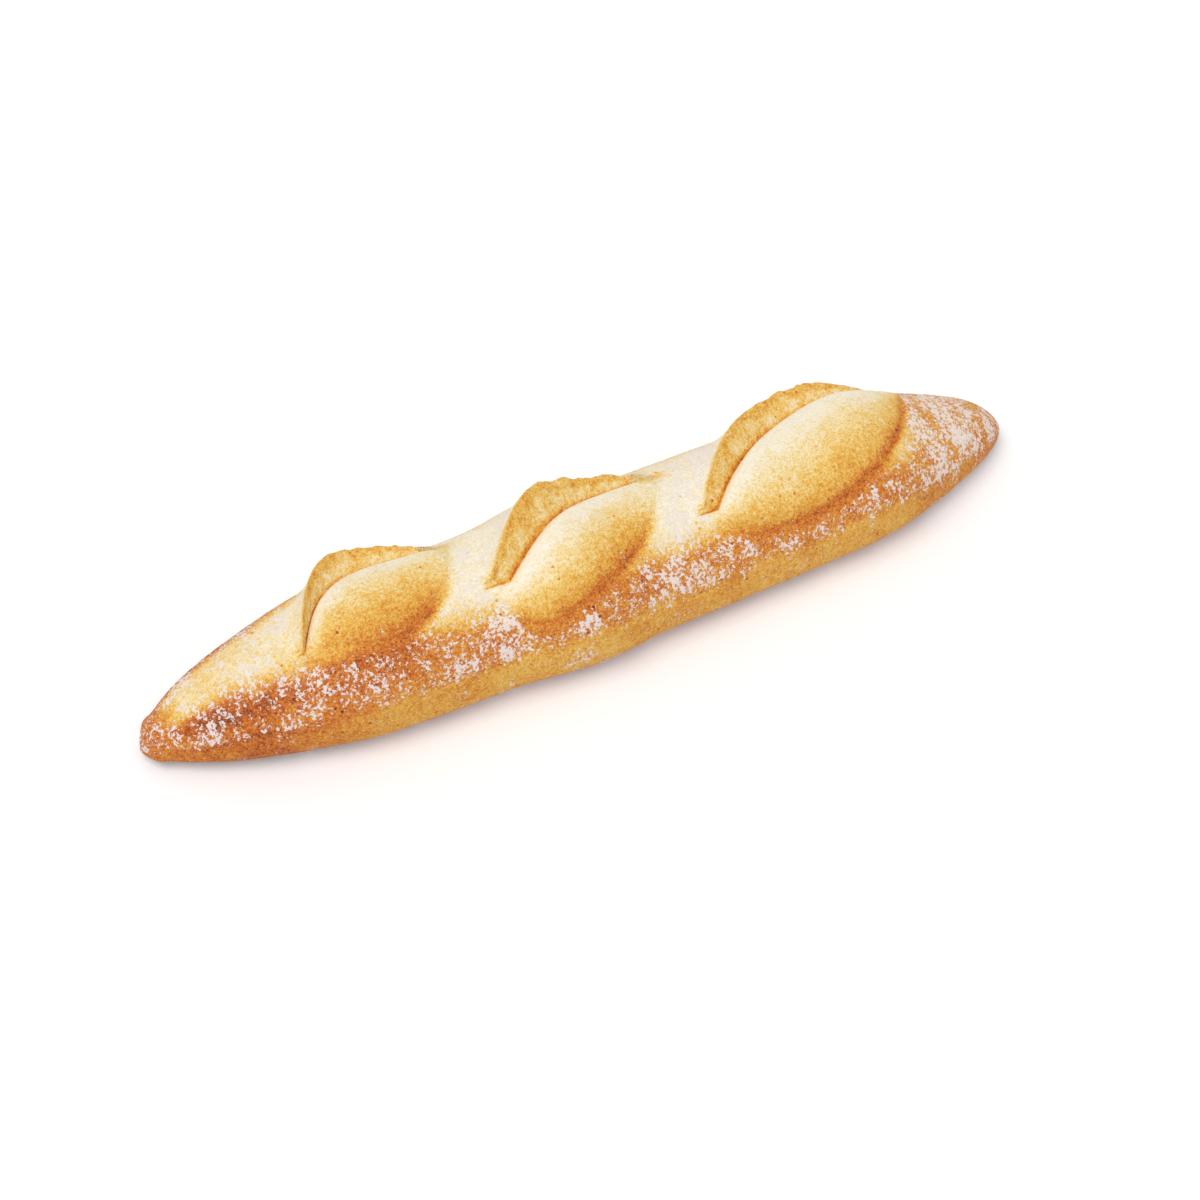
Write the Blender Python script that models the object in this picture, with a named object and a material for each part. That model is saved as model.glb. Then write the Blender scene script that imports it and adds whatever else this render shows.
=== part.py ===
"""A short baguette, baked from one piece of dough and slashed three times along its top.

Axes: X runs along the loaf, +Z is up, and -Y is the side on which the cuts start. The origin is on the flat
sole, under the middle of the loaf. One closed surface carries the body, the three bulges of dough that rose
out of the cuts, and the ear that each cut lifted on its far side.

A place on the surface is given by x and by a turn: the angle in degrees from the ridge, which grows towards
the near side (-Y) and reaches 180 in the middle of the sole.
"""

from dataclasses import dataclass
from math import pi

import bmesh
import bpy
import numpy as np

# The body as it was before the cuts opened, in metres.
LENGTH = 0.320
WIDTH = 0.0560
HEIGHT = 0.0382
WIDEST_SHARE = 0.42         # height of the widest line, as a share of HEIGHT
UPPER_ROUNDNESS = 2.15      # exponent of the superellipse above the widest line: 2 is an ellipse
LOWER_ROUNDNESS = 2.8       # and below it, where the loaf is boxier
SOLE_DEPTH = 1.12           # how far the lower half would reach, were it not pressed flat on the oven floor
TIP_HEIGHT = 0.0035         # the tips lift off the sole by this much
BEND = (0.0078, 0.0075)     # the left and the right tip lie this far behind the middle of the loaf
LEFT_TAPER = (4.0, 1.47)    # exponents of the tapers: the left end is long and ends in a knob
RIGHT_TAPER = (3.3, 1.70)   # the right end is blunter

# The slight swellings of the body between its necks: place along the loaf, half-length, share of WIDTH.
SWELLS = ((-0.090, 0.020, 0.07), (-0.014, 0.018, 0.11), (0.100, 0.023, 0.12))

# The knob of twisted dough at the left tip.
KNOB_INSET = 0.0036
KNOB_HALF_LENGTH = 0.0028
KNOB_SWELL = 0.0016

# The cuts. Each lifted an ear on its far side, whose torn wall rises from a foot to a rim.
REACH = 0.00042             # metres of crust across the top for one degree of turn
RIM_LAG = 0.003             # the rims leave the near side this far after a cut's start
LEAST_WALL = 4.0            # degrees from the foot to the rim where the wall stands steepest
WALL_HOLLOW = 1.25          # exponent of the wall's rise: above 1 it is hollow
LIP_SPAN = 0.0009           # the rim's width
EAR_HURRY = 2.5             # above 1, an ear rises quickly at its start
EAR_SINK = 1.15             # above 1, it sinks late
EAR_SLOPE = 0.0150          # distance over which the back of an ear falls to the body
EAR_SHARPNESS = 2.3         # exponent of that fall
EAR_LEAN = 0.12             # how far a rim leans back, as a share of its height
EDGE_HURRY = 2.1            # above 1, a bulge's near edge opens quickly at the start
EDGE_END = 0.52             # and closes as an ellipse does
BULGE_RUN = 0.009           # distance in which a bulge rises to two thirds of its height
CREASE_DEPTH = 0.0010       # the crease between a bulge and its ear
CREASE_WIDTH = 0.0016
EDGE_GROOVE = 0.0004        # depth of the line along a bulge's near edge
EDGE_SPAN = 0.0022          # and its half-width
LEAST_SPREAD = 12.0         # degrees that the rows of a bulge cover where no cut is
SWING_BEFORE = 0.010        # the rows swing over to the next cut from this far before the end of one
SWING_AFTER = 0.001         # until this far after the start of the next

# The mesh: rings along the loaf, and the rows of each stretch round it, from an ear's foot and back to it.
RINGS = 110
BULGE_ROWS = 10
EDGE_ROWS = 2
NEAR_ROWS = 7
SOLE_ROWS = 5
FAR_ROWS = 7
BACK_ROWS = 6
LIP_ROWS = 2
WALL_ROWS = 4
ROWS = BULGE_ROWS + EDGE_ROWS + NEAR_ROWS + SOLE_ROWS + FAR_ROWS + BACK_ROWS + LIP_ROWS + WALL_ROWS


@dataclass
class Cut:
    """One slash. Its ear runs from a start on the near side to an end on the far side."""

    start: float        # place along the loaf
    start_turn: float
    end: float
    end_turn: float
    rim_hurry: float    # above 1, the rim turns to the far side early on
    foot_lag: float     # the ear's foot sets out this much later
    foot_hurry: float
    widest: float       # place along the loaf at which the bulge reaches furthest to the near side
    edge_turn: float    # turn of its near edge there
    closing: float      # exponent of the near edge's way back: 2 stays low for long, 1 comes back at once
    blunt: float        # how bluntly the bulge ends: 0.5 is an ellipse
    bulge: float        # how high the dough rose out of the cut
    ear: float          # how high the rim stands over the body
    ear_peak: float     # place along the loaf at which it stands highest
    ear_end: float      # and where it has sunk

    def line(self, x, lag, hurry):
        """Turn of a line that leaves the start quickly and eases in to the end."""
        left = np.clip((self.end - x) / (self.end - self.start - lag), 0, 1)
        return self.end_turn + (self.start_turn - self.end_turn) * left**hurry

    def foot(self, x):
        """Turn of the ear's foot."""
        return self.line(x, self.foot_lag, self.foot_hurry)

    def rim(self, x):
        """Turn of its rim."""
        return np.minimum(self.line(x, RIM_LAG, self.rim_hurry), self.foot(x) - LEAST_WALL)

    def progress(self, x):
        """How far the bulge is on its way to its widest place, and how far on from there to its end."""
        opened = np.clip((x - self.start) / (self.widest - self.start), 0, 1)
        closed = np.clip((x - self.widest) / (self.end - self.widest), 0, 1)
        return opened, closed

    def edge(self, x):
        """Turn of the bulge's near edge."""
        opened, closed = self.progress(x)
        out = self.start_turn + (self.edge_turn - self.start_turn) * (1 - (1 - opened) ** EDGE_HURRY)
        back = (self.edge_turn - self.end_turn) * (1 - (1 - closed**self.closing) ** EDGE_END)
        return np.maximum(out - back, self.foot(x))

    def swelling(self, x):
        """Height of the bulge."""
        _, closed = self.progress(x)
        since = np.maximum(x - self.start - self.foot_lag / 2, 0)
        return self.bulge * (1 - np.exp(-since / BULGE_RUN)) * (1 - closed**2) ** self.blunt

    def height(self, x):
        """Height of the rim: it rises after the start, levels off, and sinks towards its end."""
        risen = np.clip((x - self.start) / (self.ear_peak - self.start), 0, 1)
        sinking = np.clip((x - self.ear_peak) / (self.ear_end - self.ear_peak), 0, 1)
        return self.ear * (1 - (1 - risen) ** EAR_HURRY) * (1 - sinking**EAR_SINK)


CUTS = (
    Cut(
        start=-0.1090, start_turn=17, end=-0.0460, end_turn=-41, rim_hurry=5.2,
        foot_lag=0.003, foot_hurry=4.6, widest=-0.083, edge_turn=31, closing=1.9, blunt=0.9, bulge=0.0034,
        ear=0.0078, ear_peak=-0.081, ear_end=-0.050,
    ),
    Cut(
        start=-0.0465, start_turn=19, end=0.0275, end_turn=-30, rim_hurry=3.4,
        foot_lag=0.010, foot_hurry=2.2, widest=-0.030, edge_turn=56, closing=1.4, blunt=0.9, bulge=0.0036,
        ear=0.0088, ear_peak=-0.016, ear_end=0.0255,
    ),
    Cut(
        start=0.0290, start_turn=23, end=0.1230, end_turn=-40, rim_hurry=3.9,
        foot_lag=0.009, foot_hurry=3.0, widest=0.0630, edge_turn=54, closing=2.1, blunt=0.6, bulge=0.0042,
        ear=0.0080, ear_peak=0.080, ear_end=0.117,
    ),
)


def arch(t, skew=1.0, fullness=1.0):
    """A hump over 0..1: half a sine wave, pushed to one side by skew and filled out by a low fullness."""
    return np.maximum(np.sin(pi * t**skew), 0) ** fullness


def ease(t):
    """A smooth step from 0 to 1."""
    t = np.clip(t, 0, 1)
    return t * t * (3 - 2 * t)


def bell(distance, width):
    """1 at no distance, falling off as a normal curve of that width."""
    return np.exp(-((distance / width) ** 2))


def taper(s):
    """Share of the full width at s, which runs from -1 to 1 along the loaf."""
    a = np.abs(s)
    left = (1 - a ** LEFT_TAPER[0]) ** (1 / LEFT_TAPER[1])
    right = (1 - a ** RIGHT_TAPER[0]) ** (1 / RIGHT_TAPER[1])
    return np.where(s < 0, left, right)


def girth(x):
    """Share of the full section at x: the taper, the swellings and the knob."""
    share = taper(np.clip(2 * x / LENGTH, -1, 1))
    for middle, half_length, swell in SWELLS:
        share = share * (1 + swell * bell(x - middle, half_length))
    swell = KNOB_SWELL / (WIDTH / 2) * bell(x + LENGTH / 2 - KNOB_INSET, KNOB_HALF_LENGTH)
    return share + swell * np.minimum(share * 12, 1)


def body(x, turn, out, back):
    """Points of the plain body, moved outwards by out and towards the far side by back.

    The section is a superellipse, taller above its widest line, and cut off flat at the sole."""
    k = girth(x)
    angle = np.radians(turn)
    sine, cosine = np.sin(angle), np.cos(angle)
    top = cosine > 0
    middle = TIP_HEIGHT + (WIDEST_SHARE * HEIGHT - TIP_HEIGHT) * k
    upper = (1 - WIDEST_SHARE) * HEIGHT * k
    lower = WIDEST_SHARE * HEIGHT * SOLE_DEPTH * k
    roundness = np.where(top, UPPER_ROUNDNESS, LOWER_ROUNDNESS)
    r = (np.abs(sine) ** roundness + np.abs(cosine) ** roundness) ** (-1 / roundness)
    y = -WIDTH / 2 * k * sine * r - out * sine + back * cosine
    z = middle + np.where(top, upper, lower) * cosine * r + out * cosine + back * sine
    y = y + np.where(x < 0, BEND[0], BEND[1]) * (2 * x / LENGTH) ** 2
    return np.stack([x, y, z], axis=-1)


def row_lines(x):
    """Turns that the rows follow at x: an ear's foot, its rim and the near edge of its bulge."""
    lines = []
    for cut in CUTS:
        edge = np.maximum(cut.edge(x), cut.foot(x) + LEAST_SPREAD)
        lines.append(np.stack([cut.foot(x), cut.rim(x), edge]))
    followed = lines[0]
    for i, (before, cut) in enumerate(zip(CUTS, CUTS[1:])):
        leaving = before.end - SWING_BEFORE
        swung = ease((x - leaving) / (cut.start + SWING_AFTER - leaving))
        followed = followed + (lines[i + 1] - followed) * swung
    return followed


def stretches(foot, rim, edge):
    """The rows round the loaf: for each stretch its rows, and the turns at which it starts and ends."""
    back = rim - LIP_SPAN / REACH
    slope = back - EAR_SLOPE / REACH
    outside = edge + 2 * EDGE_SPAN / REACH
    return (
        (BULGE_ROWS, foot, edge),
        (EDGE_ROWS, edge, outside),
        (NEAR_ROWS, outside, 130),
        (SOLE_ROWS, 130, 230),
        (FAR_ROWS, 230, 360 + slope),
        (BACK_ROWS, 360 + slope, 360 + back),
        (LIP_ROWS, 360 + back, 360 + rim),
        (WALL_ROWS, 360 + rim, 360 + foot),
    )


def turns(x, row):
    """Turn of each row: every stretch takes its own share of the rows."""
    turn = np.zeros_like(x)
    first = 0
    for rows, start, end in stretches(*row_lines(x)):
        t = (row - first) / rows
        # The rows across a bulge crowd towards its two edges, where it rises steeply.
        placed = (1 - np.cos(pi * t)) / 2 if rows == BULGE_ROWS else t
        turn = np.where((t >= 0) & (t < 1), start + (end - start) * placed, turn)
        first += rows
    return turn


def surface(x, row):
    """Points of the crust at x on the given rows: the body with its bulges, creases and ears."""
    turn = turns(x, row)
    out = np.zeros_like(x)
    back = np.zeros_like(x)
    for cut in CUTS:
        over = (turn - cut.foot(x) + 180) % 360 - 180       # degrees from the foot, towards the near side
        near = over >= 0
        span = cut.edge(x) - cut.foot(x)
        across = np.clip(over / np.maximum(span, 0.1), 0, 1)
        outside = (over - span) * REACH                     # metres past the bulge's near edge
        swelling = cut.swelling(x)
        opened = np.clip(swelling / CREASE_DEPTH, 0, 1)
        ear = cut.height(x)
        wall = cut.foot(x) - cut.rim(x)
        climb = np.where(near, 0, np.clip(-over / wall, 0, 1))          # 0 at the foot, 1 at the rim
        past = np.where(near, -1, (-over - wall) * REACH)               # metres past the rim
        fall = np.clip(1 - (past - LIP_SPAN) / EAR_SLOPE, 0, 1) ** EAR_SHARPNESS
        rising = np.where(past < 0, climb**WALL_HOLLOW, fall)
        crest = 0.0005 * arch(np.clip(past / LIP_SPAN, 0, 1)) * np.clip(ear / 0.003, 0, 1)
        lifted = np.where(near, 0, ear * rising + crest)
        dome = arch(across, 0.8, 0.6 + 0.5 * across) * (near & (outside < 0))
        crease = np.where(near, bell(over * REACH, CREASE_WIDTH), (1 - climb) ** 2)
        groove = EDGE_GROOVE * bell(outside, EDGE_SPAN) * near
        out = out + swelling * dome + lifted - (CREASE_DEPTH * crease + groove) * opened
        back = back + EAR_LEAN * lifted
    points = body(x, turn, out, back)
    points[..., 2] = np.maximum(points[..., 2], 0)
    return points


def crust_material():
    """Baked crust: dull, and golden brown."""
    material = bpy.data.materials.new("baked crust")
    material.use_nodes = True
    shader = material.node_tree.nodes["Principled BSDF"]
    shader.inputs["Base Color"].default_value = (0.62, 0.33, 0.11, 1)
    shader.inputs["Roughness"].default_value = 0.75
    shader.inputs["Metallic"].default_value = 0
    return material


def ring_places(along):
    """Place of each ring: they crowd towards the tips, and where the ears set out across the loaf."""
    spaced = np.linspace(-1, 1, 2001)
    crowding = 0.5 + 0.25 / np.sqrt(1.02 - spaced**2)
    for cut in CUTS:
        crowding = crowding + 0.6 * bell(spaced * LENGTH / 2 - cut.start - 0.007, 0.008)
    passed = np.cumsum(crowding) - crowding[0]
    return LENGTH / 2 * np.interp(along, passed / passed[-1], spaced)


def build_loaf(collection):
    """A sphere with its poles on X, each of whose rings and rows is laid on the crust."""
    mesh = bpy.data.meshes.new("loaf")
    sphere = bmesh.new()
    bmesh.ops.create_uvsphere(sphere, u_segments=ROWS, v_segments=RINGS, radius=1)
    points = np.array([vertex.co for vertex in sphere.verts])
    along = np.arccos(np.clip(-points[:, 2], -1, 1)) / pi
    row = np.round(np.arctan2(points[:, 1], points[:, 0]) / (2 * pi) * ROWS) % ROWS
    placed = surface(ring_places(along), row)
    middle = (placed[:, :2].max(axis=0) + placed[:, :2].min(axis=0)) / 2
    placed[:, :2] -= middle
    for vertex, place in zip(sphere.verts, placed):
        vertex.co = place
    bmesh.ops.triangulate(sphere, faces=sphere.faces)
    sphere.to_mesh(mesh)
    sphere.free()
    mesh.polygons.foreach_set("use_smooth", np.ones(len(mesh.polygons), dtype=bool))
    mesh.materials.append(crust_material())
    collection.objects.link(bpy.data.objects.new("loaf", mesh))


def main():
    for old in list(bpy.data.objects):
        bpy.data.objects.remove(old)
    collection = bpy.data.collections.new("baguette")
    bpy.context.scene.collection.children.link(collection)
    build_loaf(collection)


main()
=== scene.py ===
"""The looks of a short floured baguette: its crust, the risen dough in its three cuts and their torn ears.

The loaf is one surface on a grid of rings along it and rows round it. A place on it is given by x and by a
turn: the angle in degrees from the ridge, which grows towards the near side (-Y) and reaches 180 in the
middle of the sole. The rows follow each cut: they start at the foot of its ear, cross the bulge, go round
under the loaf and come back up the ear's outer side, over its rim and down its torn wall.
"""

from dataclasses import dataclass
from math import cos, pi, radians, sin

import bpy
import numpy as np
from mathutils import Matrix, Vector


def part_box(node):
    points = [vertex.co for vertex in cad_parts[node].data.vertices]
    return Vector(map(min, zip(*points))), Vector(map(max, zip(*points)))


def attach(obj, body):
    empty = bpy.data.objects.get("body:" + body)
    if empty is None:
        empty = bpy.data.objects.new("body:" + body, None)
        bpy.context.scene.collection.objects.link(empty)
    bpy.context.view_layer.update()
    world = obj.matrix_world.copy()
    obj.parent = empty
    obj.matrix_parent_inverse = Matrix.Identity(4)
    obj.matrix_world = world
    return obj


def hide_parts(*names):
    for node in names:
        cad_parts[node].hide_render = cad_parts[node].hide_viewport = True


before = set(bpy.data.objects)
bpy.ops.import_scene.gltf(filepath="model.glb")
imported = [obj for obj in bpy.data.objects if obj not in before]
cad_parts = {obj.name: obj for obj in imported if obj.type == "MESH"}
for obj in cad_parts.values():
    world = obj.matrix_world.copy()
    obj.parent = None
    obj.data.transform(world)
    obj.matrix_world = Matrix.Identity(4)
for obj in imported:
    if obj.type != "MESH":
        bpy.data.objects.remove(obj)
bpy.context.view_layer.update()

MM = 0.001

# ---------------------------------------------------------------- sizes of the plain body, in metres
LENGTH = 0.320
WIDTH = 0.0560
HEIGHT = 0.0382
WIDEST_SHARE = 0.42         # height of the widest line, as a share of HEIGHT
UPPER_ROUNDNESS = 2.15      # exponent of the superellipse above the widest line: 2 is an ellipse
LOWER_ROUNDNESS = 2.8       # and below it, where the loaf is boxier
SOLE_DEPTH = 1.12           # how far the lower half would reach, were it not pressed flat on the oven floor
TIP_HEIGHT = 0.0035         # the tips lift off the sole by this much
BEND = (0.0078, 0.0075)     # the left and the right tip lie this far behind the middle of the loaf
LEFT_TAPER = (4.0, 1.47)    # exponents of the tapers: the left end is long and ends in a knob
RIGHT_TAPER = (3.3, 1.70)   # the right end is blunter

# The slight swellings of the body between its necks: place along the loaf, half-length, share of WIDTH.
SWELLS = ((-0.090, 0.020, 0.07), (-0.014, 0.018, 0.11), (0.100, 0.023, 0.12))

# The knob of twisted dough at the left tip.
KNOB_INSET = 0.0036
KNOB_HALF_LENGTH = 0.0028
KNOB_SWELL = 0.0016

# The cuts. Each lifted an ear on its far side, whose torn wall rises from a foot to a rim.
REACH = 0.00042             # metres of crust across the top for one degree of turn
RIM_LAG = 0.003             # the rims leave the near side this far after a cut's start
LEAST_WALL = 4.0            # degrees from the foot to the rim where the wall stands steepest
WALL_HOLLOW = 1.25          # exponent of the wall's rise: above 1 it is hollow
LIP_SPAN = 0.0009           # the rim's width
EAR_HURRY = 2.5             # above 1, an ear rises quickly at its start
EAR_SINK = 1.15             # above 1, it sinks late
EAR_SLOPE = 0.0150          # distance over which the back of an ear falls to the body
EAR_SHARPNESS = 2.3         # exponent of that fall
EAR_LEAN = 0.12             # how far a rim leans back, as a share of its height
EDGE_HURRY = 2.1            # above 1, a bulge's near edge opens quickly at the start
EDGE_END = 0.52             # and closes as an ellipse does
BULGE_RUN = 0.009           # distance in which a bulge rises to two thirds of its height
CREASE_DEPTH = 0.0010       # the crease between a bulge and its ear
CREASE_WIDTH = 0.0016
EDGE_GROOVE = 0.0004        # depth of the line along a bulge's near edge
EDGE_SPAN = 0.0022          # and its half-width
PALER_BEHIND = 18.0         # degrees by which the browning sets in later on the far side
LEAST_SPREAD = 12.0         # degrees that the rows of a bulge cover where no cut is
SWING_BEFORE = 0.010        # the rows swing over to the next cut from this far before the end of one
SWING_AFTER = 0.001         # until this far after the start of the next
FULL_EAR = 0.003            # an ear this high or higher counts as wholly raised
LIP_SWELL = 0.0005          # the rounded rim stands out by this much
SOLE_TURNS = (130, 230)     # turns between which the sole's rows lie

# The unevenness of baked dough, in metres.
WAVES = 0.45 * MM           # long swellings along the loaf
LUMPS = 0.16 * MM
WRINKLES = 0.06 * MM
RAGGED = 0.35 * MM          # how far a rim rises and dips where it is smooth
TUFTS = 1.0 * MM            # and where it tore in tufts
STRANDS = 0.22 * MM         # depth of the strands on an ear's wall

# How brown the crust baked, from 0 for cream to 1 for dark brown, with painted shade at the foot of each
# ear. Turns are in degrees from the ridge.
RIDGE_BAKE = 0.11           # along the ridge
SHOULDER_BAKE = 0.60        # added under the cuts
LOW_PALER = 0.14            # taken off again low on the sides
LEFT_TOP_BAKE = 0.12        # added on top of the left end
LEFT_LOW_BAKE = 0.21        # and low on it
RIGHT_BAKE = 0.62           # the right end, which is brown up to the ridge
KNOB_BAKE = 0.79
TIP_BAKE = 0.08             # added at the right tip
SOLE_BAKE = 0.30            # added round the edge of the sole and on it
BLOTCHES = 0.09
BOUNDARY_SWAY = 5           # degrees by which the line between cream and brown strays
DOUGH_BAKE = 0.02           # a bulge by its ear
DOUGH_GOLD = 0.32           # added over its middle
DOUGH_EDGE = 0.20           # and towards its near edge
DOUGH_BLOTCHES = 0.07
EDGE_LINE_BAKE = 0.80       # the red-brown line along its near edge
SCORCHED_BAKE = 0.56        # where the ear ends
FOOT_BAKE_AND_SHADE = 0.74            # the foot of an ear's wall: torn crumb, darkened with painted shade in the hollow
WALL_PALER = 0.36           # taken off up the wall, where the painted shade of the foot fades
WALL_TOP_BAKE = 0.12        # added again below the rim
RIM_BAKE = 0.52
# Painted shade in the crease at an ear's foot.
CREASE_SHADE = 0.66

# How thickly flour lies: at 0.5 it hides half of the crust.
FLOUR_TOP = 0.41
FLOUR_BAND = 0.05           # added along the sides, below the cuts
FLOUR_NECKS = 0.08          # and there between the cuts
FLOUR_LEFT_LESS = 0.03
FLOUR_RIGHT = 0.09
FLOUR_LOW_LESS = 0.34       # taken off low on the sides
FLOUR_SOLE = 0.24           # and added again round the sole
FLOUR_KNOB_LESS = 0.07
DRIFTS = 0.20
FLECKS = 0.22

# The grid: rings along the loaf, and the rows of each stretch round it, from an ear's foot and back to it.
RINGS = 470
BULGE_ROWS = 54
EDGE_ROWS = 10
NEAR_ROWS = 40
SOLE_ROWS = 20
FAR_ROWS = 28
BACK_ROWS = 30
LIP_ROWS = 6
WALL_ROWS = 24
ROWS = BULGE_ROWS + EDGE_ROWS + NEAR_ROWS + SOLE_ROWS + FAR_ROWS + BACK_ROWS + LIP_ROWS + WALL_ROWS
EAR_CROWDING = 0.8          # how much closer together the rings lie where an ear sets out


# ---------------------------------------------------------------- curves and noise
def arch(t, skew=1.0, fullness=1.0):
    """A hump over 0..1: half a sine wave, pushed to one side by skew and filled out by a low fullness."""
    return np.maximum(np.sin(pi * t**skew), 0) ** fullness


def ease(t):
    """A smooth step from 0 to 1."""
    t = np.clip(t, 0, 1)
    return t * t * (3 - 2 * t)


def rise(value, start, span):
    """0 up to the start and 1 from a span past it. With a negative span it rises the other way."""
    return ease((value - start) / span)


def bell(distance, width):
    """1 at no distance, falling off as a normal curve of that width."""
    return np.exp(-((distance / width) ** 2))


def lattice(cell, seed):
    """A random number in -1..1 for each whole-numbered cell, from its three numbers and the seed."""
    h = cell[..., 0] * 374761393 + cell[..., 1] * 668265263 + cell[..., 2] * 2147483647 + seed * 974634777
    h = (h ^ (h >> 13)) * 1274126177
    h = (h ^ (h >> 16)) & 0xFFFFFF
    return h / 0x7FFFFF - 1.0


def noise(points, size, seed=0):
    """Smooth noise in -1..1: lattice numbers at the corners of cells of that size, eased in between."""
    p = points / np.asarray(size, dtype=float)
    cell = np.floor(p).astype(np.int64)
    f = p - cell
    f = f * f * (3 - 2 * f)
    total = np.zeros(p.shape[:-1])
    for corner in np.ndindex(2, 2, 2):
        weight = np.prod(np.where(corner, f, 1 - f), axis=-1)
        total += weight * lattice(cell + np.array(corner), seed)
    return total


def grain(points, size, seed=0, octaves=3):
    """Noise of several sizes, each half as large and half as strong as the one before."""
    layers = (noise(points, np.asarray(size) / 2**i, seed + 17 * i) / 2**i for i in range(octaves))
    return sum(layers) / (2 - 0.5 ** (octaves - 1))


# ---------------------------------------------------------------- the cuts
@dataclass
class Cut:
    """One slash. Its ear runs from a start on the near side to an end on the far side."""

    start: float        # place along the loaf
    start_turn: float
    end: float
    end_turn: float
    rim_hurry: float    # above 1, the rim turns to the far side early on
    foot_lag: float     # the ear's foot sets out this much later
    foot_hurry: float
    widest: float       # place along the loaf at which the bulge reaches furthest to the near side
    edge_turn: float    # turn of its near edge there
    closing: float      # exponent of the near edge's way back: 2 stays low for long, 1 comes back at once
    blunt: float        # how bluntly the bulge ends: 0.5 is an ellipse
    bulge: float        # how high the dough rose out of the cut
    ear: float          # how high the rim stands over the body
    ear_peak: float     # place along the loaf at which it stands highest
    ear_end: float      # and where it has sunk
    colour: float       # how much darker than the others its bulge baked
    merging: float      # 1 where the end of the bulge passes into the crust with no line between them

    def line(self, x, lag, hurry):
        """Turn of a line that leaves the start quickly and eases in to the end."""
        left = np.clip((self.end - x) / (self.end - self.start - lag), 0, 1)
        return self.end_turn + (self.start_turn - self.end_turn) * left**hurry

    def foot(self, x):
        """Turn of the ear's foot."""
        return self.line(x, self.foot_lag, self.foot_hurry)

    def rim(self, x):
        """Turn of its rim."""
        return np.minimum(self.line(x, RIM_LAG, self.rim_hurry), self.foot(x) - LEAST_WALL)

    def progress(self, x):
        """How far the bulge is on its way to its widest place, and how far on from there to its end."""
        opened = np.clip((x - self.start) / (self.widest - self.start), 0, 1)
        closed = np.clip((x - self.widest) / (self.end - self.widest), 0, 1)
        return opened, closed

    def edge(self, x):
        """Turn of the bulge's near edge."""
        opened, closed = self.progress(x)
        out = self.start_turn + (self.edge_turn - self.start_turn) * (1 - (1 - opened) ** EDGE_HURRY)
        back = (self.edge_turn - self.end_turn) * (1 - (1 - closed**self.closing) ** EDGE_END)
        return np.maximum(out - back, self.foot(x))

    def swelling(self, x):
        """Height of the bulge."""
        _, closed = self.progress(x)
        since = np.maximum(x - self.start - self.foot_lag / 2, 0)
        return self.bulge * (1 - np.exp(-since / BULGE_RUN)) * (1 - closed**2) ** self.blunt

    def height(self, x):
        """Height of the rim: it rises after the start, levels off, and sinks towards its end."""
        risen = np.clip((x - self.start) / (self.ear_peak - self.start), 0, 1)
        sinking = np.clip((x - self.ear_peak) / (self.ear_end - self.ear_peak), 0, 1)
        return self.ear * (1 - (1 - risen) ** EAR_HURRY) * (1 - sinking**EAR_SINK)


CUTS = (
    Cut(
        start=-0.1090, start_turn=17, end=-0.0460, end_turn=-41, rim_hurry=5.2,
        foot_lag=0.003, foot_hurry=4.6, widest=-0.083, edge_turn=31, closing=1.9, blunt=0.9, bulge=0.0034,
        ear=0.0078, ear_peak=-0.081, ear_end=-0.050, colour=0.08, merging=1,
    ),
    Cut(
        start=-0.0465, start_turn=19, end=0.0275, end_turn=-30, rim_hurry=3.4,
        foot_lag=0.010, foot_hurry=2.2, widest=-0.030, edge_turn=56, closing=1.4, blunt=0.9, bulge=0.0036,
        ear=0.0088, ear_peak=-0.016, ear_end=0.0255, colour=0.02, merging=1,
    ),
    Cut(
        start=0.0290, start_turn=23, end=0.1230, end_turn=-40, rim_hurry=3.9,
        foot_lag=0.009, foot_hurry=3.0, widest=0.0630, edge_turn=54, closing=2.1, blunt=0.6, bulge=0.0042,
        ear=0.0080, ear_peak=0.080, ear_end=0.117, colour=0.00, merging=0,
    ),
)


class Opened:
    """What one cut did to the crust, at places given by x and turn."""

    def __init__(self, cut, x, turn):
        self.share = np.clip((x - cut.start) / (cut.end - cut.start), 0, 1)
        # Degrees from the foot, towards the near side.
        self.over = (turn - cut.foot(x) + 180) % 360 - 180
        self.near = self.over >= 0
        self.span = cut.edge(x) - cut.foot(x)
        self.across = np.clip(self.over / np.maximum(self.span, 0.1), 0, 1)
        # Metres past the bulge's near edge.
        self.edge = (self.over - self.span) * REACH
        self.swelling = cut.swelling(x)
        self.open = np.clip(self.swelling / CREASE_DEPTH, 0, 1)
        self.ear = cut.height(x)
        self.raised = np.clip(self.ear / FULL_EAR, 0, 1)
        wall = cut.foot(x) - cut.rim(x)
        # 1 at the foot of the wall and 0 at the rim, and metres past the rim.
        self.wall = np.where(self.near, 0, np.clip(1 + self.over / wall, 0, 1))
        self.past = np.where(self.near, -1, (-self.over - wall) * REACH)

    def ear_shape(self):
        """Share of the ear's height: it rises up the wall, is flat over the rim and falls down the back."""
        back = np.clip(1 - (self.past - LIP_SPAN) / EAR_SLOPE, 0, 1) ** EAR_SHARPNESS
        return np.where(self.past < 0, (1 - self.wall) ** WALL_HOLLOW, back) * ~self.near

    def bulge_shape(self):
        """Share of the bulge's height: steep by the ear, and coming down gently to the near edge."""
        return arch(self.across, 0.8, 0.6 + 0.5 * self.across) * (self.near & (self.edge < 0))

    def sunk(self):
        """Depth of the crease at the foot, and of the line along the near edge."""
        crease = np.where(self.near, bell(self.over * REACH, CREASE_WIDTH), self.wall**2)
        return (CREASE_DEPTH * crease + EDGE_GROOVE * bell(self.edge, EDGE_SPAN) * self.near) * self.open


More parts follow.
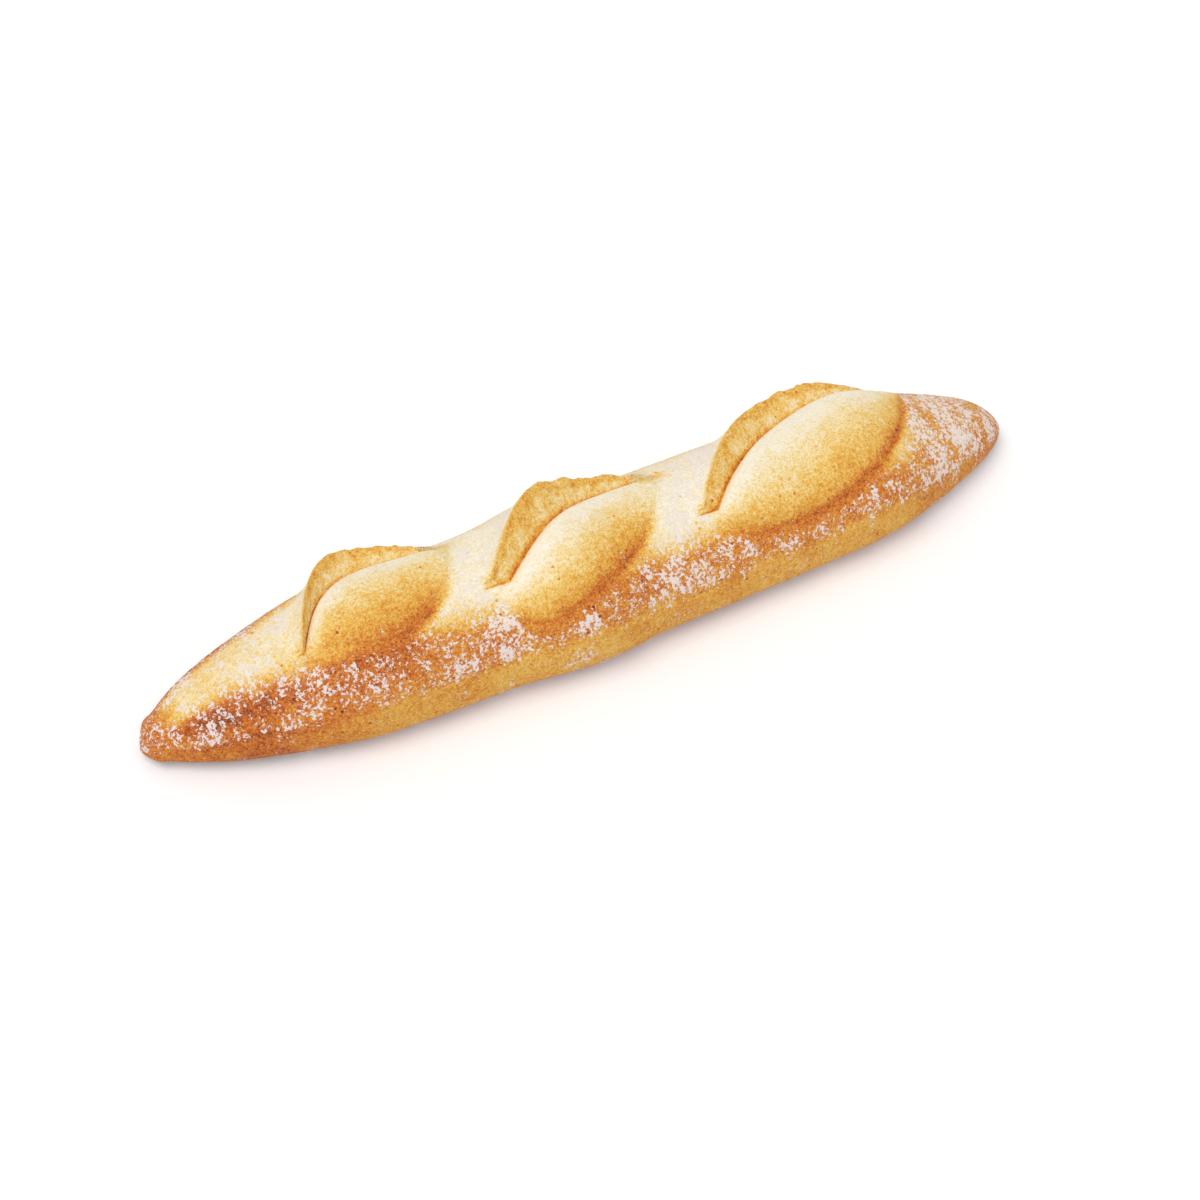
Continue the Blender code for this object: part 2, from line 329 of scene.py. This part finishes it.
# ---------------------------------------------------------------- the loaf's surface
def taper(s):
    """Share of the full width at s, which runs from -1 to 1 along the loaf."""
    a = np.abs(s)
    left = (1 - a ** LEFT_TAPER[0]) ** (1 / LEFT_TAPER[1])
    right = (1 - a ** RIGHT_TAPER[0]) ** (1 / RIGHT_TAPER[1])
    return np.where(s < 0, left, right)


def girth(x):
    """Share of the full section at x: the taper, the swellings and the knob."""
    share = taper(np.clip(2 * x / LENGTH, -1, 1))
    for middle, half_length, swell in SWELLS:
        share = share * (1 + swell * bell(x - middle, half_length))
    swell = KNOB_SWELL / (WIDTH / 2) * bell(x + LENGTH / 2 - KNOB_INSET, KNOB_HALF_LENGTH)
    return share + swell * np.minimum(share * 12, 1)


def body(x, turn, out, back):
    """Points of the plain body, moved outwards by out and towards the far side by back.

    The section is a superellipse, taller above its widest line, and cut off flat at the sole."""
    k = girth(x)
    angle = np.radians(turn)
    sine, cosine = np.sin(angle), np.cos(angle)
    top = cosine > 0
    middle = TIP_HEIGHT + (WIDEST_SHARE * HEIGHT - TIP_HEIGHT) * k
    upper = (1 - WIDEST_SHARE) * HEIGHT * k
    lower = WIDEST_SHARE * HEIGHT * SOLE_DEPTH * k
    roundness = np.where(top, UPPER_ROUNDNESS, LOWER_ROUNDNESS)
    r = (np.abs(sine) ** roundness + np.abs(cosine) ** roundness) ** (-1 / roundness)
    y = -WIDTH / 2 * k * sine * r - out * sine + back * cosine
    z = middle + np.where(top, upper, lower) * cosine * r + out * cosine + back * sine
    y = y + np.where(x < 0, BEND[0], BEND[1]) * (2 * x / LENGTH) ** 2
    return np.stack([x, y, z], axis=-1)


def row_lines(x):
    """Turns that the rows follow at x: an ear's foot, its rim and the near edge of its bulge."""
    lines = []
    for cut in CUTS:
        edge = np.maximum(cut.edge(x), cut.foot(x) + LEAST_SPREAD)
        lines.append(np.stack([cut.foot(x), cut.rim(x), edge]))
    followed = lines[0]
    for i, (before, cut) in enumerate(zip(CUTS, CUTS[1:])):
        leaving = before.end - SWING_BEFORE
        swung = ease((x - leaving) / (cut.start + SWING_AFTER - leaving))
        followed = followed + (lines[i + 1] - followed) * swung
    return followed


def stretches(foot, rim, edge):
    """The rows round the loaf: for each stretch its rows, and the turns at which it starts and ends."""
    back = rim - LIP_SPAN / REACH
    slope = back - EAR_SLOPE / REACH
    outside = edge + 2 * EDGE_SPAN / REACH
    sole, far = SOLE_TURNS
    return (
        (BULGE_ROWS, foot, edge),
        (EDGE_ROWS, edge, outside),
        (NEAR_ROWS, outside, sole),
        (SOLE_ROWS, sole, far),
        (FAR_ROWS, far, 360 + slope),
        (BACK_ROWS, 360 + slope, 360 + back),
        (LIP_ROWS, 360 + back, 360 + rim),
        (WALL_ROWS, 360 + rim, 360 + foot),
    )


def turns(x, row):
    """Turn of each row: every stretch takes its own share of the rows."""
    turn = np.zeros_like(x)
    first = 0
    for rows, start, end in stretches(*row_lines(x)):
        t = (row - first) / rows
        # The rows across a bulge crowd towards its two edges, where it rises steeply.
        placed = (1 - np.cos(pi * t)) / 2 if rows == BULGE_ROWS else t
        turn = np.where((t >= 0) & (t < 1), start + (end - start) * placed, turn)
        first += rows
    return turn


class Crust:
    """The crust at places given by x and turn: its points, and what shows on it."""

    def __init__(self, x, turn):
        self.x = x
        self.turn = turn
        self.cuts = [Opened(cut, x, self.turn) for cut in CUTS]
        self.plain = body(x, self.turn, 0 * x, 0 * x)
        self.points = self.place()

    def place(self):
        """The plain body, with the bulges, creases and ears on it, and the unevenness of baked dough."""
        out = self.unevenness()
        back = 0 * self.x
        for cut in self.cuts:
            lifted = (cut.ear + self.ragged(cut)) * cut.ear_shape()
            lifted = lifted + LIP_SWELL * arch(np.clip(cut.past / LIP_SPAN, 0, 1)) * cut.raised
            out = out + lifted + cut.swelling * cut.bulge_shape() * (1 + self.dimples()) - cut.sunk()
            out = out + self.strands(cut)
            back = back + EAR_LEAN * lifted
        points = body(self.x, self.turn, out, back)
        points[..., 2] = np.maximum(points[..., 2], 0)
        return points

    def ragged(self, cut):
        """Metres by which a rim rises and dips along its tear: smooth at first, and in tufts later on."""
        along = np.stack([self.x, 0 * self.x, 0 * self.x], axis=-1)
        late = rise(cut.share, 0.25, 0.35)
        tufts = 0.55 * noise(along, 4.5 * MM, 4) + 0.45 * noise(along, 1.5 * MM, 5)
        return (RAGGED * noise(along, 12 * MM, 3) + TUFTS * late * tufts) * cut.raised

    def dimples(self):
        """Shares by which a bulge swells and sinks."""
        return 0.10 * noise(self.plain, 14 * MM, 6) + 0.05 * noise(self.plain, 5 * MM, 7)

    def unevenness(self):
        """Metres by which the crust stands out or in, fading out at the tips."""
        size = np.clip(girth(self.x) * 2, 0, 1)
        waves = WAVES * noise(self.plain, 32 * MM, 1) + LUMPS * noise(self.plain, 9 * MM, 2)
        return size * (waves + WRINKLES * noise(self.plain, 2.4 * MM, 8))

    def strands(self, cut):
        """Strands of crumb up an ear's wall: noise that is fine along the ear and long from foot to rim."""
        place = self.on_wall(cut)
        strands = noise(place, (2.2 * MM, 3.5 * MM, 1), 9) + 0.8 * noise(place, (0.9 * MM, 1.3 * MM, 1), 10)
        return STRANDS * strands * arch(cut.wall, 1, 0.5) * cut.raised

    def on_wall(self, cut):
        """Places on an ear's wall in metres: along it and up it."""
        return np.stack([self.x + 0.4 * self.plain[..., 1], (1 - cut.wall) * 7 * MM, 0 * self.x], axis=-1)

    def side(self):
        """Degrees from the ridge. The pale top of the loaf reaches further down its far side."""
        turn = self.turn % 360
        return np.where(turn > 180, np.maximum(360 - turn - PALER_BEHIND, 0), turn)

    def bake(self):
        """How brown each place baked, with painted shade at the ears' feet: 0 is cream, 0.5 golden, 0.8
        deep orange and 1 dark brown.
        """
        turn = self.side() + BOUNDARY_SWAY * noise(self.plain, 9 * MM, 24)
        s = 2 * self.x / LENGTH
        left = rise(s, -0.22, -0.36)
        right = rise(s, 0.62, 0.16)
        # The crust turns from cream to orange nearer to the ridge on the left end than elsewhere.
        value = RIDGE_BAKE + SHOULDER_BAKE * rise(turn, 22 - 14 * left, 30) - LOW_PALER * rise(turn, 68, 16)
        top = LEFT_TOP_BAKE * (left + rise(s, -0.68, -0.2)) * (1 - rise(turn, 40, 30))
        value = value + top + LEFT_LOW_BAKE * rise(s, -0.50, -0.26) * rise(turn, 62, 16)
        value = value + (RIGHT_BAKE + 0.08 * rise(turn, 30, 40) - value) * right
        value = value + (KNOB_BAKE - value) * rise(s, -0.90, -0.07) + TIP_BAKE * rise(s, 0.9, 0.1)
        value = value + SOLE_BAKE * rise(turn, 118, 14) + BLOTCHES * grain(self.plain, 16 * MM, 20)
        for cut, made in zip(self.cuts, CUTS):
            value = self.baked_bulge(value, cut, made)
            value = self.ear_bake_and_shade(value, cut)
        return np.clip(value, 0, 1)

    def baked_bulge(self, value, cut, made):
        """Cream by the ear, browning towards the near edge, which is red-brown along its middle part."""
        c = cut.across
        merging = made.merging * rise(cut.share, 0.68, 0.28)
        dough = DOUGH_BAKE + DOUGH_GOLD * rise(c, 0.06, 0.54) + DOUGH_EDGE * rise(c, 0.45, 0.45)
        dough = dough + made.colour * rise(c, 0, 0.6) + DOUGH_BLOTCHES * grain(self.plain, 12 * MM, 21)
        inside = cut.open * rise(cut.edge, 0, -2.5 * MM) * cut.near
        inside = inside * (1 - 0.7 * merging) * rise(cut.share, 0, 0.2)
        value = value + (dough - value) * inside
        line = np.where(cut.edge < 0, bell(cut.edge, 2.8 * MM), bell(cut.edge, 2.4 * MM)) * cut.near
        strength = 0.15 + 0.85 * rise(cut.share, 0.16, 0.3)
        strength = strength * (1 - merging) * (1 - 0.5 * rise(cut.share, 0.85, 0.15))
        value = value + (EDGE_LINE_BAKE - value) * line * cut.open * strength
        scorched = bell(self.x - made.ear_end, 6 * MM) * bell(cut.over * REACH - 1.5 * MM, 3 * MM)
        return value + (SCORCHED_BAKE - value) * 0.8 * scorched * cut.near

    def ear_bake_and_shade(self, value, cut):
        """Brown painted shade in the crease and at the foot of the wall, pale gold on the torn crumb above
        it, and golden at the rim.
        """
        height = 1 - cut.wall
        # Painted shade: the wall is darkest at its foot, in the hollow, and pales towards the rim.
        torn = FOOT_BAKE_AND_SHADE - WALL_PALER * rise(height, 0, 0.34) + WALL_TOP_BAKE * rise(height, 0.55, 0.3)
        place = self.on_wall(cut)
        torn = torn + 0.07 * noise(place, (2.6 * MM, 3.5 * MM, 1), 22) + 0.10 * noise(place, 1.1 * MM, 23)
        on_wall = (~cut.near & (cut.past < 0)) * rise(cut.ear, 0, 1.2 * MM)
        value = value + (torn - value) * on_wall
        on_rim = np.where(cut.past < 0, 0, bell(cut.past, 1.5 * MM)) * cut.raised
        value = value + (RIM_BAKE - value) * on_rim
        # Painted shade: the dough by the crease is darkened brown for a hair's breadth.
        crease = cut.near * bell(cut.over * REACH, 0.5 * MM) * cut.raised
        return value + (CREASE_SHADE - value) * 0.7 * crease

    def flour(self):
        """How thickly flour lies on each place: at 0.5 it hides half of the crust."""
        turn = self.side()
        s = 2 * self.x / LENGTH
        band = rise(turn, 16, 16) * (1 - rise(turn, 72, 14))
        necks = sum(bell(self.x - cut.start - 2 * MM, 11 * MM) for cut in CUTS[1:])
        amount = FLOUR_TOP + (FLOUR_BAND + FLOUR_NECKS * necks) * band
        amount = amount - FLOUR_LEFT_LESS * rise(s, -0.4, -0.3) - FLOUR_KNOB_LESS * rise(s, -0.90, -0.05)
        right = rise(s, 0.66, 0.12) * (1 - rise(turn, 84, 24)) * (1 - 0.8 * rise(s, 0.86, 0.08))
        amount = amount + FLOUR_RIGHT * right
        amount = amount - FLOUR_LOW_LESS * rise(turn, 70, 14) + FLOUR_SOLE * rise(turn, 112, 14)
        amount = amount + DRIFTS * noise(self.plain, (9 * MM, 15 * MM, 15 * MM), 34)
        amount = amount + FLECKS * noise(self.plain, (3.5 * MM, 7 * MM, 7 * MM), 31)
        for cut in self.cuts:
            bare = cut.open * ease(1 - cut.edge / (5 * MM)) * cut.near
            torn = ~cut.near * ease(3 - cut.past / MM) * cut.raised
            amount = amount * (1 - bare) * (1 - torn)
        return np.clip(amount, 0, 1)


def loaf_grid():
    """The crust on the whole grid, and its two tips, which make_loaf moves so that their box is centred as
    the solid's is.
    """
    along = (np.arange(RINGS - 1) + 1) / RINGS
    # The rings crowd towards the tips, where the loaf curves most, and where the ears set out across them.
    spaced = np.linspace(-1, 1, 2001)
    crowding = 0.5 + 0.25 / np.sqrt(1.02 - spaced**2)
    for cut in CUTS:
        crowding = crowding + EAR_CROWDING * bell(spaced * LENGTH / 2 - cut.start - 7 * MM, 8 * MM)
    passed = np.cumsum(crowding) - crowding[0]
    x = LENGTH / 2 * np.interp(along, passed / passed[-1], spaced)
    x, row = np.meshgrid(x, np.arange(ROWS, dtype=float), indexing="ij")
    crust = Crust(x, turns(x, row))
    tips = np.array([[-LENGTH / 2, BEND[0], TIP_HEIGHT], [LENGTH / 2, BEND[1], TIP_HEIGHT]])
    return crust, tips


def grid_faces():
    """Quads between the rings, closed round the loaf, and triangles at the two tips, all facing out."""
    ring, row = np.meshgrid(np.arange(RINGS - 2), np.arange(ROWS), indexing="ij")
    after = (row + 1) % ROWS
    here, next_ring = ring * ROWS, (ring + 1) * ROWS
    quads = np.stack([here + row, here + after, next_ring + after, next_ring + row], -1)
    row = np.arange(ROWS)
    after = (row + 1) % ROWS
    left = (RINGS - 1) * ROWS
    last = (RINGS - 2) * ROWS
    first_fan = np.stack([0 * row + left, after, row], -1)
    last_fan = np.stack([0 * row + left + 1, last + row, last + after], -1)
    return quads.reshape(-1, 4), np.concatenate([first_fan, last_fan])


def make_loaf():
    """The loaf as one closed mesh, with its browning, painted shade at the ears' feet included, and its
    flour as attributes of its points.
    """
    crust, tips = loaf_grid()
    points = np.concatenate([crust.points.reshape(-1, 3), tips])
    low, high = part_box("loaf")
    middle = (points.min(axis=0) + points.max(axis=0)) / 2
    points[:, :2] += (np.array((low + high) / 2) - middle)[:2]
    quads, fans = grid_faces()
    mesh = bpy.data.meshes.new("floured loaf")
    mesh.from_pydata(points.tolist(), [], quads.tolist() + fans.tolist())
    mesh.polygons.foreach_set("use_smooth", np.ones(len(mesh.polygons), dtype=bool))
    shown = {"bake": crust.bake(), "flour": crust.flour()}
    for name, values in shown.items():
        attribute = mesh.attributes.new(name, "FLOAT", "POINT")
        ends = [values[0].mean(), values[-1].mean()]
        attribute.data.foreach_set("value", np.concatenate([values.ravel(), ends]).astype(np.float32))
    piece = bpy.data.objects.new("floured_loaf", mesh)
    bpy.context.scene.collection.objects.link(piece)
    mesh.materials.append(baked_crust())
    return piece


# ---------------------------------------------------------------- materials
def colour(code):
    """The linear RGBA of an sRGB hex colour such as F3D79A."""
    parts = [int(code[i : i + 2], 16) / 255 for i in (0, 2, 4)]
    return (*[p / 12.92 if p <= 0.04045 else ((p + 0.055) / 1.055) ** 2.4 for p in parts], 1)


def add(tree, kind, settings=None, **links):
    """Adds a node: settings are its own properties, and links are its inputs' values, sockets or nodes.

    An input goes by its name, with _ for a space, or as in and its number."""
    node = tree.nodes.new(kind)
    for name, value in (settings or {}).items():
        setattr(node, name, value)
    for name, value in links.items():
        name = name.replace("_", " ")
        numbered = name.startswith("in") and name[2:].isdigit()
        socket = node.inputs[int(name[2:]) if numbered else name]
        if isinstance(value, bpy.types.Node):
            value = value.outputs[0]
        if isinstance(value, bpy.types.NodeSocket):
            tree.links.new(value, socket)
        else:
            socket.default_value = value
    return node


# Crust from cream, through gold and orange, to dark brown, and the flour on it.
BROWNING = (
    (0.00, "FCF5E2"),
    (0.15, "F9EBCB"),
    (0.30, "F6DA98"),
    (0.44, "F0C264"),
    (0.56, "E8AD45"),
    (0.68, "DA8C36"),
    (0.80, "CE6F28"),
    (0.92, "A9521F"),
    (1.00, "7E3A18"),
)
FLOUR = "F5E9E4"

# How far each pattern sways the browning, and its size.
MOTTLE, MOTTLE_SIZE = 0.24, 5.0 * MM
SPECK, SPECK_SIZE = 0.50, 1.3 * MM
GRAIN, GRAIN_SIZE = 0.60, 0.6 * MM
PORE, PORE_SPACING = 0.34, 7.0 * MM

# How far each pattern sways the flour, and its size.
PATCH, PATCH_SIZE = 1.20, 2.2 * MM
DUST, DUST_SIZE = 2.20, 1.1 * MM
MOST_COVER = 0.88           # flour never hides the crust wholly

CRUST_ROUGHNESS = 0.62      # dull, with a faint sheen
CRUST_SHEEN = 0.25
RELIEF_STRENGTH = 0.7
RELIEF_HEIGHT = 0.6 * MM


def baked_crust():
    """Baked crust: cream where it stayed pale, through gold to red-brown, with painted shade at the ears'
    feet, dull, with dry flour on it.
    """
    material = bpy.data.materials.new("baked crust")
    material.use_nodes = True
    tree = material.node_tree
    shader = tree.nodes["Principled BSDF"]
    place = add(tree, "ShaderNodeTexCoord").outputs["Object"]
    # The browning, with the painted shade at the ears' feet, and the flour, as the mesh holds them.
    bake = add(tree, "ShaderNodeAttribute", {"attribute_name": "bake"}).outputs["Fac"]
    flour = add(tree, "ShaderNodeAttribute", {"attribute_name": "flour"}).outputs["Fac"]

    mottle = add(tree, "ShaderNodeTexNoise", Vector=place, Scale=1 / MOTTLE_SIZE, Detail=3.0, Roughness=0.6)
    speck = add(tree, "ShaderNodeTexNoise", Vector=place, Scale=1 / SPECK_SIZE, Detail=2.0, Roughness=0.6)
    grain = add(tree, "ShaderNodeTexNoise", Vector=place, Scale=1 / GRAIN_SIZE, Detail=1.0, Roughness=0.6)
    # Half of each weight comes off first, so that the patterns sway the browning both ways.
    half = (MOTTLE + SPECK + GRAIN) / 2
    baked = add(tree, "ShaderNodeMath", {"operation": "SUBTRACT"}, in0=bake, in1=half)
    baked = add(tree, "ShaderNodeMath", {"operation": "MULTIPLY_ADD"}, in0=mottle, in1=MOTTLE, in2=baked)
    baked = add(tree, "ShaderNodeMath", {"operation": "MULTIPLY_ADD"}, in0=speck, in1=SPECK, in2=baked)
    baked = add(tree, "ShaderNodeMath", {"operation": "MULTIPLY_ADD"}, in0=grain, in1=GRAIN, in2=baked)
    # A few tiny scorched pores.
    pores = add(tree, "ShaderNodeTexVoronoi", Vector=place, Scale=1 / PORE_SPACING)
    pored = add(tree, "ShaderNodeMapRange", Value=pores, From_Min=0.05, From_Max=0.1, To_Min=PORE, To_Max=0)
    baked = add(tree, "ShaderNodeMath", {"operation": "ADD"}, in0=baked, in1=pored)
    crust = add(tree, "ShaderNodeValToRGB", Fac=baked)
    stops = crust.color_ramp.elements
    stops[0].color = colour(BROWNING[0][1])
    stops[1].color = colour(BROWNING[-1][1])
    for share, code in BROWNING[1:-1]:
        stops.new(share).color = colour(code)

    stretched = add(tree, "ShaderNodeMapping", Vector=place, Scale=(1, 0.5, 0.5))
    patch = add(tree, "ShaderNodeTexNoise", Vector=stretched, Scale=1 / PATCH_SIZE, Detail=2, Roughness=0.6)
    dust = add(tree, "ShaderNodeTexNoise", Vector=place, Scale=1 / DUST_SIZE, Detail=2.0, Roughness=0.7)
    lying = add(tree, "ShaderNodeMath", {"operation": "SUBTRACT"}, in0=flour, in1=(PATCH + DUST) / 2)
    lying = add(tree, "ShaderNodeMath", {"operation": "MULTIPLY_ADD"}, in0=patch, in1=PATCH, in2=lying)
    lying = add(tree, "ShaderNodeMath", {"operation": "MULTIPLY_ADD"}, in0=dust, in1=DUST, in2=lying)
    cover = add(tree, "ShaderNodeMapRange", Value=lying, From_Min=0.46, From_Max=0.64, To_Max=MOST_COVER)
    floured = add(tree, "ShaderNodeMix", {"data_type": "RGBA"}, in0=cover, in6=crust, in7=colour(FLOUR))
    tree.links.new(floured.outputs[2], shader.inputs["Base Color"])

    shader.inputs["Roughness"].default_value = CRUST_ROUGHNESS
    shader.inputs["Specular IOR Level"].default_value = CRUST_SHEEN
    relief = add(tree, "ShaderNodeMath", {"operation": "MULTIPLY_ADD"}, in0=grain, in1=0.5, in2=speck)
    relief = add(tree, "ShaderNodeMath", {"operation": "MULTIPLY_ADD"}, in0=cover, in1=0.25, in2=relief)
    bump = add(tree, "ShaderNodeBump", Height=relief, Strength=RELIEF_STRENGTH, Distance=RELIEF_HEIGHT)
    tree.links.new(bump.outputs["Normal"], shader.inputs["Normal"])
    return material


FLOOR_GLOW = 0.16


def pale_floor():
    """A matt white table top, a shade brighter to the eye than the light on it, with soft shadows."""
    material = bpy.data.materials.new("white table top")
    material.use_nodes = True
    tree = material.node_tree
    shader = tree.nodes["Principled BSDF"]
    shader.inputs["Base Color"].default_value = colour("F2F2F2")
    shader.inputs["Roughness"].default_value = 0.9
    shader.inputs["Specular IOR Level"].default_value = 0.0
    shader.inputs["Emission Color"].default_value = colour("FFFFFF")
    seen = add(tree, "ShaderNodeLightPath").outputs["Is Camera Ray"]
    glow = add(tree, "ShaderNodeMath", {"operation": "MULTIPLY"}, in0=seen, in1=FLOOR_GLOW)
    tree.links.new(glow.outputs["Value"], shader.inputs["Emission Strength"])
    return material


# ---------------------------------------------------------------- the set
def make_floor():
    """A plain floor under the loaf."""
    mesh = bpy.data.meshes.new("table top")
    sides = ((-1, -1), (1, -1), (1, 1), (-1, 1))
    corners = [(FLOOR_REACH * x, FLOOR_REACH * y, -FLOOR_GAP) for x, y in sides]
    mesh.from_pydata(corners, [], [(0, 1, 2, 3)])
    mesh.materials.append(pale_floor())
    floor = bpy.data.objects.new("table_top", mesh)
    bpy.context.scene.collection.objects.link(floor)


FLOOR_REACH = 6.0           # metres from the loaf to the floor's sides
FLOOR_GAP = 0.2 * MM


def make_lights():
    """Soft light all round, and a wide soft lamp above, so that the near side is darker than the top."""
    world = bpy.data.worlds.new("soft room")
    bpy.context.scene.world = world
    world.use_nodes = True
    tree = world.node_tree
    background = tree.nodes["Background"]
    background.inputs["Color"].default_value = (1, 1, 1, 1)
    # To the eye the room is plain white, and it lights the loaf more dimly than that.
    seen = add(tree, "ShaderNodeLightPath").outputs["Is Camera Ray"]
    strength = add(tree, "ShaderNodeMapRange", Value=seen, To_Min=ROOM_LIGHT, To_Max=1.0)
    tree.links.new(strength.outputs["Result"], background.inputs["Strength"])
    lamp = bpy.data.lights.new("overhead", "SUN")
    lamp.angle = radians(LAMP_WIDTH)
    lamp.energy = LAMP_LIGHT
    overhead = bpy.data.objects.new("overhead", lamp)
    overhead.location = LAMP_PLACE
    overhead.rotation_euler = (Vector((0, 0, 0)) - overhead.location).to_track_quat("-Z", "Y").to_euler()
    bpy.context.scene.collection.objects.link(overhead)


ROOM_LIGHT = 0.64
LAMP_LIGHT = 1.3
LAMP_WIDTH = 45.0
LAMP_PLACE = Vector((-0.5, -0.25, 1.3))

# The camera stands this far from a point inside the loaf, and looks a little below it.
CAMERA_TURN = -27.5
CAMERA_RISE = 46.9
CAMERA_DISTANCE = 1.0
CAMERA_CENTRE = Vector((0, 0, 0.02))
CAMERA_DROP = 0.0126
CAMERA_LENS = 91.6


def make_camera():
    """The camera, above the near side and turned towards the left end."""
    turn, rise = radians(CAMERA_TURN), radians(CAMERA_RISE)
    back = Vector((sin(turn) * cos(rise), -cos(turn) * cos(rise), sin(rise)))
    right = Vector((cos(turn), sin(turn), 0))
    up = back.cross(right)
    lens = bpy.data.cameras.new("camera")
    lens.lens = CAMERA_LENS
    lens.sensor_width = 36
    camera = bpy.data.objects.new("camera", lens)
    camera.location = CAMERA_CENTRE + back * CAMERA_DISTANCE
    aim = CAMERA_CENTRE - up * CAMERA_DROP
    camera.rotation_euler = (aim - camera.location).to_track_quat("-Z", "Y").to_euler()
    bpy.context.scene.collection.objects.link(camera)
    bpy.context.scene.camera = camera


make_camera()
make_lights()
make_floor()
loaf = make_loaf()
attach(loaf, "root")
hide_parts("loaf")
bpy.context.scene.view_settings.view_transform = "Standard"
